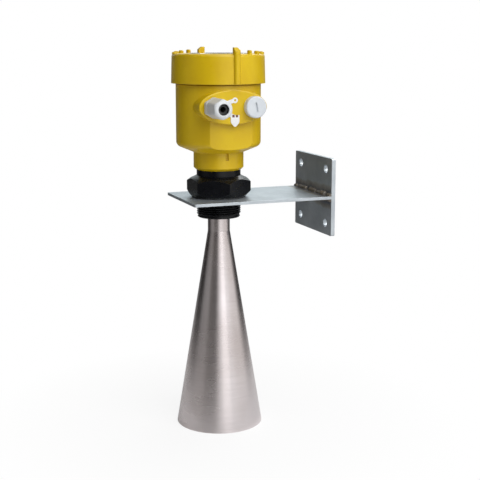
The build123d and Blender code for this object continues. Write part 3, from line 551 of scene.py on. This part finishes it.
def display_glass(name):
    """A dull liquid-crystal screen with a bar scale across its middle."""
    paint = Paint(name, IOR=1.5, Coat_Weight=0.5)
    bar_count = 16
    bar_gap = 0.3
    bar_darkness = 0.85
    scale_rows = (0.38, 0.6)
    scale_columns = (0.12, 0.7)
    low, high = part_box("display_screen")
    x, y, _ = paint.parts(paint.place)
    across = paint.spread(x, low.x, high.x, 0.0, 1.0)
    up = paint.spread(y, low.y, high.y, 0.0, 1.0)
    column = paint.calculate("FRACT", paint.times(across, bar_count))
    in_bar = paint.calculate("GREATER_THAN", column, bar_gap)
    in_scale = paint.times(
        paint.within(up, *scale_rows), paint.within(across, *scale_columns)
    )
    bars = paint.times(in_bar, in_scale)
    drift = paint.noise(70, detail=2)
    base = paint.ramp(drift, (0.3, srgb(142, 152, 132)), (0.7, srgb(156, 166, 146)))
    paint.set(
        Base_Color=paint.mix(paint.times(bars, bar_darkness), base, srgb(38, 44, 40)),
        Roughness=paint.spread(drift, 0.3, 0.7, 0.14, 0.2),
    )
    return paint.material


def clear_window(name):
    """Clear polished plastic with the faintest waves."""
    paint = Paint(name, IOR=1.49, Transmission_Weight=1.0)
    drift = paint.noise(60, detail=2)
    paint.set(
        Base_Color=paint.ramp(drift, (0.3, srgb(236, 240, 238)), (0.7, srgb(246, 248, 247))),
        Roughness=paint.spread(drift, 0.3, 0.7, 0.02, 0.05),
        Normal=paint.bump(drift, 0.05 * MM, paint.soft_edges(0.2 * MM), 0.3),
    )
    return paint.material


yellow = moulded_plastic(
    "yellow_housing_plastic", srgb(217, 184, 6), srgb(207, 171, 3), 0.32, edge=0.9 * MM
)
black = moulded_plastic(
    "black_fitting_plastic", srgb(8, 9, 14), srgb(5, 6, 9), 0.28, gloss=0.25
)
dark = moulded_plastic("dark_module_plastic", srgb(34, 35, 38), srgb(27, 28, 30), 0.45)
terminal = moulded_plastic("grey_terminal_plastic", srgb(106, 114, 120), srgb(94, 102, 108), 0.45)
light_grey = moulded_plastic("grey_gland_plastic", srgb(224, 227, 228), srgb(211, 214, 218), 0.4)
pale = moulded_plastic("pale_plug_plastic", srgb(216, 221, 225), srgb(204, 209, 215), 0.4)
waxy = moulded_plastic("white_feed_plastic", srgb(232, 230, 224), srgb(222, 219, 210), 0.3)
keys = moulded_plastic("grey_key_rubber", srgb(124, 126, 130), srgb(112, 114, 118), 0.6)
seal = rubber("black_seal_rubber", srgb(24, 24, 25))
horn_steel = turned_steel("turned_horn_steel")
arm_steel = sheet_steel("brushed_arm_steel", (60, 1900, 900))
wall_steel = sheet_steel("brushed_wall_plate_steel", (900, 1900, 60))
weld = weld_metal("oxidised_weld_metal")
brass = plain_metal("turned_brass", srgb(218, 184, 106), srgb(196, 160, 84), 0.26)
gold = plain_metal("gold_contact_metal", srgb(236, 200, 118), srgb(220, 182, 98), 0.22)
can = plain_metal("satin_can_aluminium", srgb(214, 216, 219), srgb(196, 198, 202), 0.34)
zinc = plain_metal("zinc_plated_screw_steel", srgb(204, 206, 210), srgb(180, 183, 190), 0.3)
tag = printed_tag("printed_tag_film")
board = circuit_board("green_board_resist")
screen = display_glass("display_screen_glass")
window = clear_window("clear_window_plastic")

finishes = {
    "bracket_arm": arm_steel,
    "bracket_wall_plate": wall_steel,
    "bracket_weld": weld,
    "process_seal": seal,
    "process_fitting": black,
    "swivel_seals": seal,
    "retaining_ring": zinc,
    "horn_antenna": horn_steel,
    "antenna_seal": seal,
    "feed_cone": waxy,
    "waveguide_tube": brass,
    "microwave_module": can,
    "housing_body": yellow,
    "gland_seal_ring": seal,
    "gland_body": light_grey,
    "gland_claw": black,
    "gland_sleeve": seal,
    "gland_cap_nut": light_grey,
    "gland_tag": tag,
    "plug_seal_ring": seal,
    "blind_plug": pale,
    "electronics_module": dark,
    "module_screws": zinc,
    "terminal_board": board,
    "terminal_block": terminal,
    "terminal_screws": zinc,
    "earth_clamp": brass,
    "earth_screw": zinc,
    "contact_pins": gold,
    "display_base": dark,
    "display_board": board,
    "display_screen": screen,
    "display_keys": keys,
    "display_case": dark,
    "lid_seal": seal,
    "lid": yellow,
    "lid_window": window,
    "window_seal": seal,
    "window_ring": black,
}
for name, material in finishes.items():
    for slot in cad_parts[name].material_slots:
        slot.material = material


def new_object(name, shape):
    """Turn a bmesh into an object of the scene."""
    mesh = bpy.data.meshes.new(name)
    shape.to_mesh(mesh)
    shape.free()
    made = bpy.data.objects.new(name, mesh)
    bpy.context.scene.collection.objects.link(made)
    return made


def new_piece(name, shape, material, sharp_from=math.radians(32)):
    """Turn a bmesh into a piece of one material, and mark its sharp edges."""
    piece = new_object(name, shape)
    piece.data.set_sharp_from_angle(angle=sharp_from)
    piece.data.materials.append(material)
    return piece


def skin(shape, sections):
    """Join each ring of points in a row to the next one with faces."""
    for before, after in zip(sections, sections[1:]):
        for index in range(len(before)):
            other = (index + 1) % len(before)
            shape.faces.new((before[index], after[index], after[other], before[other]))


def helix(pitch, crest, root, start, end, steps=72):
    """Build a thread's ridge round +Z, which grows and runs out over a third of a turn."""
    shape = bmesh.new()
    count = int((end - start) / pitch * steps)
    foot = RIDGE_FOOT * pitch
    top = RIDGE_TOP * pitch
    sections = []
    for step in range(count + 1):
        turn = 2 * math.pi * step / steps
        height = start + pitch * step / steps
        grown = min(1.0, RIDGE_GROWTH * step / steps, RIDGE_GROWTH * (count - step) / steps)
        radius = root + (crest - root) * grown
        ring = []
        for offset, distance in ((-foot, root), (-top, radius), (top, radius), (foot, root)):
            point = (distance * math.cos(turn), distance * math.sin(turn), height + offset * grown)
            ring.append(shape.verts.new(point))
        sections.append(ring)
    skin(shape, sections)
    bmesh.ops.remove_doubles(shape, verts=shape.verts, dist=1e-7)
    bmesh.ops.recalc_face_normals(shape, faces=shape.faces)
    return shape


def threaded(node, body, slot_name, material, placing, start, end, crest, depth, pitch):
    """Copy a CAD node with its smooth shaft turned down, and wind a thread round it.

    placing leads from the thread's own frame, +Z along its axis, to the model's, and
    start and end are places on that axis.
    """
    root = crest - depth
    to_thread = placing.inverted()
    shape = bmesh.new()
    shape.from_mesh(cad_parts[node].data)
    for vertex in shape.verts:
        point = to_thread @ vertex.co
        radius = math.hypot(point.x, point.y)
        level = start - SHAFT_END_TOLERANCE < point.z < end + SHAFT_END_TOLERANCE
        if level and abs(radius - crest) < SHAFT_TOLERANCE:
            point.xy *= root / radius
            vertex.co = placing @ point
    wound = helix(pitch, crest, root - RIDGE_SINK, start + 0.5 * pitch, end - 0.5 * pitch)
    wound.transform(placing)
    ridge = bpy.data.meshes.new("ridge")
    wound.to_mesh(ridge)
    wound.free()
    shape.from_mesh(ridge)
    bpy.data.meshes.remove(ridge)
    piece = new_piece(node + "_threaded", shape, material)
    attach(piece, body)
    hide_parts(node)


def out_of_entry(node):
    """Give the frame of a cable entry: +Z out of the boss face, along the model's -Y."""
    low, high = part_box(node)
    centre = Vector(((low.x + high.x) / 2, BOSS_FACE_Y, (low.z + high.z) / 2))
    return Matrix.Translation(centre) @ Matrix.Rotation(math.radians(90), 4, "X")


threaded(
    "process_fitting", "bracket", "black_plastic", black,
    Matrix.Translation(SENSOR_CENTRE), *PIPE_THREAD_SPAN, **PIPE_THREAD,
)
threaded(
    "gland_body", "housing", "grey_plastic", light_grey,
    out_of_entry("gland_body"), *GLAND_THREAD_SPAN, **ENTRY_THREAD,
)
threaded(
    "blind_plug", "plug", "pale_plastic", pale,
    out_of_entry("blind_plug"), *PLUG_THREAD_SPAN, **ENTRY_THREAD,
)


def neck_shoulder():
    """Add the short cone that leads from the hexagon's top up to the fitting's neck."""
    profile = (
        (SHOULDER_RADIUS, HEXAGON_TOP - SHOULDER_SINK),
        (SHOULDER_RADIUS, HEXAGON_TOP + SHOULDER_LIP),
        (FITTING_NECK_RADIUS, HEXAGON_TOP + SHOULDER_HEIGHT),
        (FITTING_NECK_RADIUS - SHOULDER_SINK, HEXAGON_TOP - SHOULDER_SINK),
    )
    shape = bmesh.new()
    sections = []
    for step in range(SHOULDER_STEPS):
        turn = 2 * math.pi * step / SHOULDER_STEPS
        section = []
        for radius, height in profile:
            point = (SENSOR_X + radius * math.cos(turn), radius * math.sin(turn), height)
            section.append(shape.verts.new(point))
        sections.append(section)
    skin(shape, sections + sections[:1])
    bmesh.ops.recalc_face_normals(shape, faces=shape.faces)
    piece = new_piece("neck_shoulder", shape, black)
    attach(piece, "bracket")


neck_shoulder()


def collar_thread():
    """Wind the lid's coarse thread round the housing's collar."""
    seal_low, seal_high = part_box("lid_seal")
    radius = (seal_high.x - seal_low.x) / 2
    shape = helix(
        COLLAR_THREAD_PITCH,
        radius + COLLAR_THREAD_HEIGHT,
        radius - COLLAR_THREAD_SINK,
        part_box("lid")[0].z + COLLAR_PLAIN_FOOT,
        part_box("housing_body")[1].z - COLLAR_PLAIN_TOP,
        COLLAR_THREAD_STEPS,
    )
    shape.transform(Matrix.Translation(SENSOR_CENTRE))
    piece = new_piece("collar_thread", shape, yellow)
    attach(piece, "housing")


collar_thread()


def blended(values, share):
    """Give the value at a share of the way along a list, blended between neighbours."""
    place = share * (len(values) - 1)
    index = int(place)
    following = min(index + 1, len(values) - 1)
    return values[index] * (1 - place % 1) + values[following] * (place % 1)


def bead_section(shape, y, leg, side):
    """Add a quarter-round section of a bead, with its corner sunk into both plates."""
    ring = [(0.0, 0.0)]
    for step in range(WELD_ROUND_STEPS + 1):
        angle = math.pi / 2 * step / WELD_ROUND_STEPS
        ring.append((leg * math.cos(angle), leg * math.sin(angle)))
    section = []
    for across, up in ring:
        x = -WALL_PLATE_THICKNESS + WELD_SINK - across
        z = side * (ARM_HALF_THICKNESS - WELD_SINK + up)
        section.append(shape.verts.new((x, max(-ARM_HALF_WIDTH, min(ARM_HALF_WIDTH, y)), z)))
    return section


def weld_stitch(shape, side, centre, length, leg):
    """Lay one lumpy, rippled fillet bead above (side 1) or below (side -1) the arm."""
    steps = int(length / WELD_STEP)
    phase = random.uniform(0, 2 * math.pi)
    lumps = [random.uniform(-1, 1) for _ in range(WELD_LUMPS)]
    sections = []
    for step in range(steps + 1):
        share = step / steps
        y = centre + (share - 0.5) * length
        swell = BEAD_SWELL * math.sin(math.pi * share) ** BEAD_SWELL_POWER + BEAD_END
        ripple = BEAD_RIPPLE * abs(math.sin(math.pi * y / BEAD_RIPPLE_PITCH + phase))
        size = BEAD_LEG + BEAD_LUMP * blended(lumps, share) + ripple
        sections.append(bead_section(shape, y, leg * min(1.0, swell) * size, side))
    skin(shape, sections)
    shape.faces.new(sections[0])
    shape.faces.new(sections[-1])


def weld_beads():
    """Lay stitches into both corners between the bracket's two plates."""
    shape = bmesh.new()
    for side in (1, -1):
        for centre, length, leg in WELD_STITCHES:
            weld_stitch(shape, side, centre * MM, length * MM, leg * MM)
    bmesh.ops.recalc_face_normals(shape, faces=shape.faces)
    piece = new_piece("weld_beads", shape, weld, math.radians(60))
    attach(piece, "bracket")
    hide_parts("bracket_weld")


weld_beads()


def studio_direction(azimuth, elevation=0.0):
    """Give the direction so many degrees right of the camera and above the horizon."""
    turn = math.radians(azimuth)
    lift = math.radians(elevation)
    view = math.radians(VIEW_TURN)
    towards = Vector((-math.sin(view), -math.cos(view), 0))
    right = Vector((math.cos(view), -math.sin(view), 0))
    level = towards * math.cos(turn) + right * math.sin(turn)
    return level * math.cos(lift) + Vector((0, 0, math.sin(lift)))


def softbox(name, azimuth, elevation, distance, size, power):
    """Hang a rectangular lamp that faces the object."""
    light = bpy.data.lights.new(name, "AREA")
    light.shape = "RECTANGLE"
    light.size, light.size_y = size
    light.energy = power
    lamp = bpy.data.objects.new(name, light)
    direction = studio_direction(azimuth, elevation)
    lamp.location = Vector(SENSOR_CENTRE) + direction * distance
    lamp.rotation_euler = direction.to_track_quat("Z", "Y").to_euler()
    bpy.context.scene.collection.objects.link(lamp)


for name, values in SOFTBOXES.items():
    softbox(name, *values)


def white_background():
    """A world that is white to look at and in reflections, and dimmer as a lamp."""
    world = bpy.data.worlds.new("studio")
    world.use_nodes = True
    tree = world.node_tree
    background = tree.nodes["Background"]
    rays = tree.nodes.new("ShaderNodeLightPath")
    mirrored = tree.nodes.new("ShaderNodeMath")
    mirrored.operation = "MAXIMUM"
    tree.links.new(rays.outputs["Is Glossy Ray"], mirrored.inputs[0])
    tree.links.new(rays.outputs["Is Transmission Ray"], mirrored.inputs[1])
    seen = tree.nodes.new("ShaderNodeMath")
    seen.operation = "MAXIMUM"
    tree.links.new(rays.outputs["Is Camera Ray"], seen.inputs[0])
    tree.links.new(mirrored.outputs[0], seen.inputs[1])
    strength = tree.nodes.new("ShaderNodeMapRange")
    strength.inputs["To Min"].default_value = WORLD_AS_LAMP
    strength.inputs["To Max"].default_value = 1.0
    tree.links.new(seen.outputs[0], strength.inputs[0])
    tree.links.new(strength.outputs[0], background.inputs["Strength"])
    background.inputs["Color"].default_value = (1, 1, 1, 1)
    bpy.context.scene.world = world


white_background()


def card_tones(paint):
    """Give the cards' colour by the direction from the sensor."""
    x, y, _ = paint.parts(paint.moved(SENSOR_CENTRE))

    def along(direction):
        """Give how far a point lies from the sensor in a direction."""
        return paint.calculate(
            "ADD", paint.times(x, direction.x), paint.times(y, direction.y)
        )

    azimuth = paint.calculate("ARCTAN2", along(studio_direction(90)), along(studio_direction(0)))
    place = paint.spread(azimuth, -math.pi, math.pi, 0.0, 1.0)
    stops = []
    for degrees, level, warmth in CARDS:
        stops.append(((degrees + 180) / 360, (level, level * warmth, level * warmth**2, 1)))
    return paint.ramp(place, *stops)


def studio_floor():
    """A pale floor that keeps the object's shadow and fades to white further out."""
    shape = bmesh.new()
    bmesh.ops.create_circle(shape, cap_ends=True, radius=FLOOR_RADIUS, segments=FLOOR_STEPS)
    shape.transform(Matrix.Translation((SENSOR_X, 0, FLOOR_Z)))
    floor = new_object("floor", shape)
    grey = (FLOOR_GREY, FLOOR_GREY, FLOOR_GREY, 1)
    paint = Paint("pale_floor", Base_Color=grey, Roughness=0.9, Specular_IOR_Level=0.0)
    _, _, radius = paint.around_sensor()
    rays = paint.add("ShaderNodeLightPath").outputs
    whiteness = paint.spread(radius, *FLOOR_WHITE_SPAN, FLOOR_WHITE_NEAR, 1.0)
    shown = paint.times(rays["Is Camera Ray"], whiteness)
    white = paint.glow((1, 1, 1, 1))
    seen = paint.add("ShaderNodeMixShader", {0: shown, 1: paint.shader.outputs[0], 2: white})
    far = paint.spread(radius, *FLOOR_CARDS_SPAN, 0.0, 1.0)
    mirrored = paint.times(rays["Is Glossy Ray"], far)
    cards = paint.glow(card_tones(paint))
    blend = paint.add("ShaderNodeMixShader", {0: mirrored, 1: seen.outputs[0], 2: cards})
    paint.show(blend.outputs[0])
    floor.data.materials.append(paint.material)


studio_floor()


def arc_card(name, distance, bottom, top, first, last, colour=None):
    """Stand a curved card round the sensor, between two azimuths, seen only in reflections.

    Without a colour of its own it has the tones that CARDS gives for each direction.
    """
    shape = bmesh.new()
    columns = []
    for step in range(CARD_STEPS + 1):
        direction = studio_direction(first + (last - first) * step / CARD_STEPS)
        foot = Vector(SENSOR_CENTRE) + direction * distance
        columns.append([shape.verts.new((foot.x, foot.y, z)) for z in (bottom, top)])
    for before, after in zip(columns, columns[1:]):
        shape.faces.new((before[0], after[0], after[1], before[1]))
    card = new_object(name, shape)
    paint = Paint(name)
    paint.show(paint.glow(colour or card_tones(paint)))
    card.data.materials.append(paint.material)
    card.visible_camera = False
    card.visible_diffuse = False
    card.visible_transmission = False
    card.visible_volume_scatter = False
    card.visible_shadow = False


arc_card("studio_walls", WALL_DISTANCE, FLOOR_Z, FLOOR_Z + WALL_HEIGHT, -180, 180)
arc_card(
    "back_card", BACK_CARD_DISTANCE, *BACK_CARD_HEIGHTS, *BACK_CARD_AZIMUTHS, BACK_CARD_COLOUR
)


def photo_camera():
    """Set the camera where the photograph was taken from."""
    camera = bpy.data.cameras.new("camera")
    camera.sensor_width = FILM_WIDTH
    camera.lens = LENS
    camera.clip_end = VIEW_END
    seen = bpy.data.objects.new("camera", camera)
    seen.location = (
        Vector((SENSOR_X, 0, VIEW_HEIGHT))
        + studio_direction(0) * VIEW_DISTANCE
        + studio_direction(90) * VIEW_SIDE
    )
    ahead = -studio_direction(0, VIEW_PITCH)
    seen.rotation_mode = "QUATERNION"
    seen.rotation_quaternion = ahead.to_track_quat("-Z", "Y")
    bpy.context.scene.collection.objects.link(seen)
    bpy.context.scene.camera = seen


photo_camera()
bpy.context.scene.view_settings.view_transform = "Standard"

bpy.context.view_layer.update()
